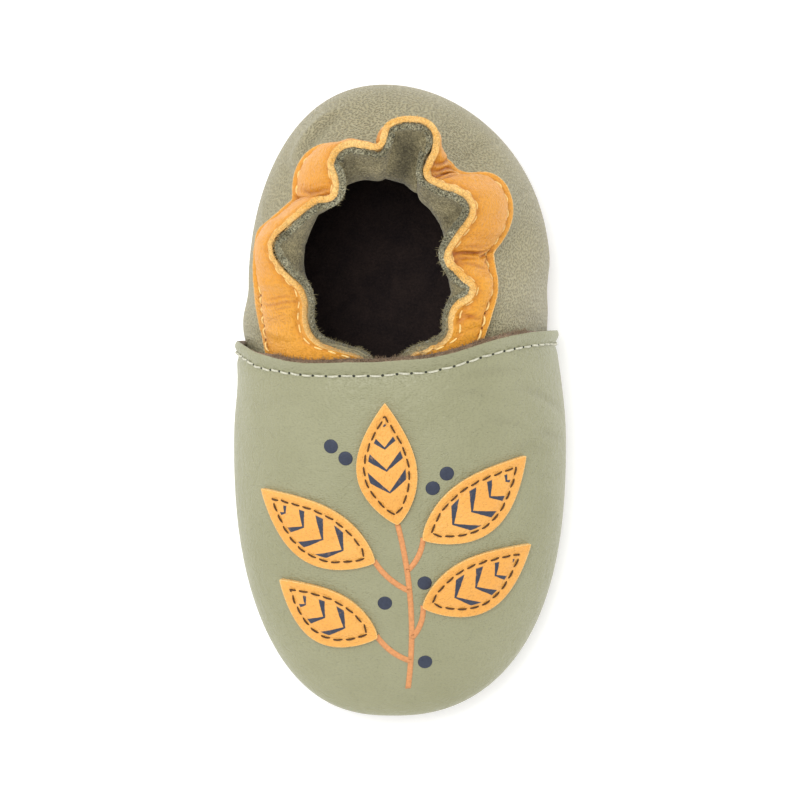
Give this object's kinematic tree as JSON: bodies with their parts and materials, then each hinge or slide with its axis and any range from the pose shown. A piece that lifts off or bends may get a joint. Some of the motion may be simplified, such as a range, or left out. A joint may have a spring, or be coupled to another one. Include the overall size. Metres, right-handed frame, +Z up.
{
  "type": "baby slipper",
  "caption": "Soft leather baby slipper for the left foot, with a lapped vamp, a gathered contrast cuff round the open collar, a leaf applique and a flat suede sole.",
  "frame": {"origin": "on the floor under the middle of the shoe's bounding box", "axes": "+Y from the toe to the heel, +X to the outer side of the left foot, +Z up"},
  "size_m": [0.0664, 0.126, 0.052],
  "materials": {
    "sage_leather": "soft pebbled leather with a low sheen",
    "orange_leather": "soft leather with a low sheen, gathered",
    "leaf_leather": "smooth soft leather with printed veins",
    "dark_lining": "matt",
    "taupe_suede": "matt suede"
  },
  "bodies": {
    "root": {"upper": "sage_leather", "collar_cuff": "orange_leather", "leaf_top": "leaf_leather", "leaf_outer_back": "leaf_leather", "leaf_inner_back": "leaf_leather", "leaf_outer_front": "leaf_leather", "leaf_inner_front": "leaf_leather", "insole": "dark_lining", "outsole": "taupe_suede"}
  },
  "joints": []
}
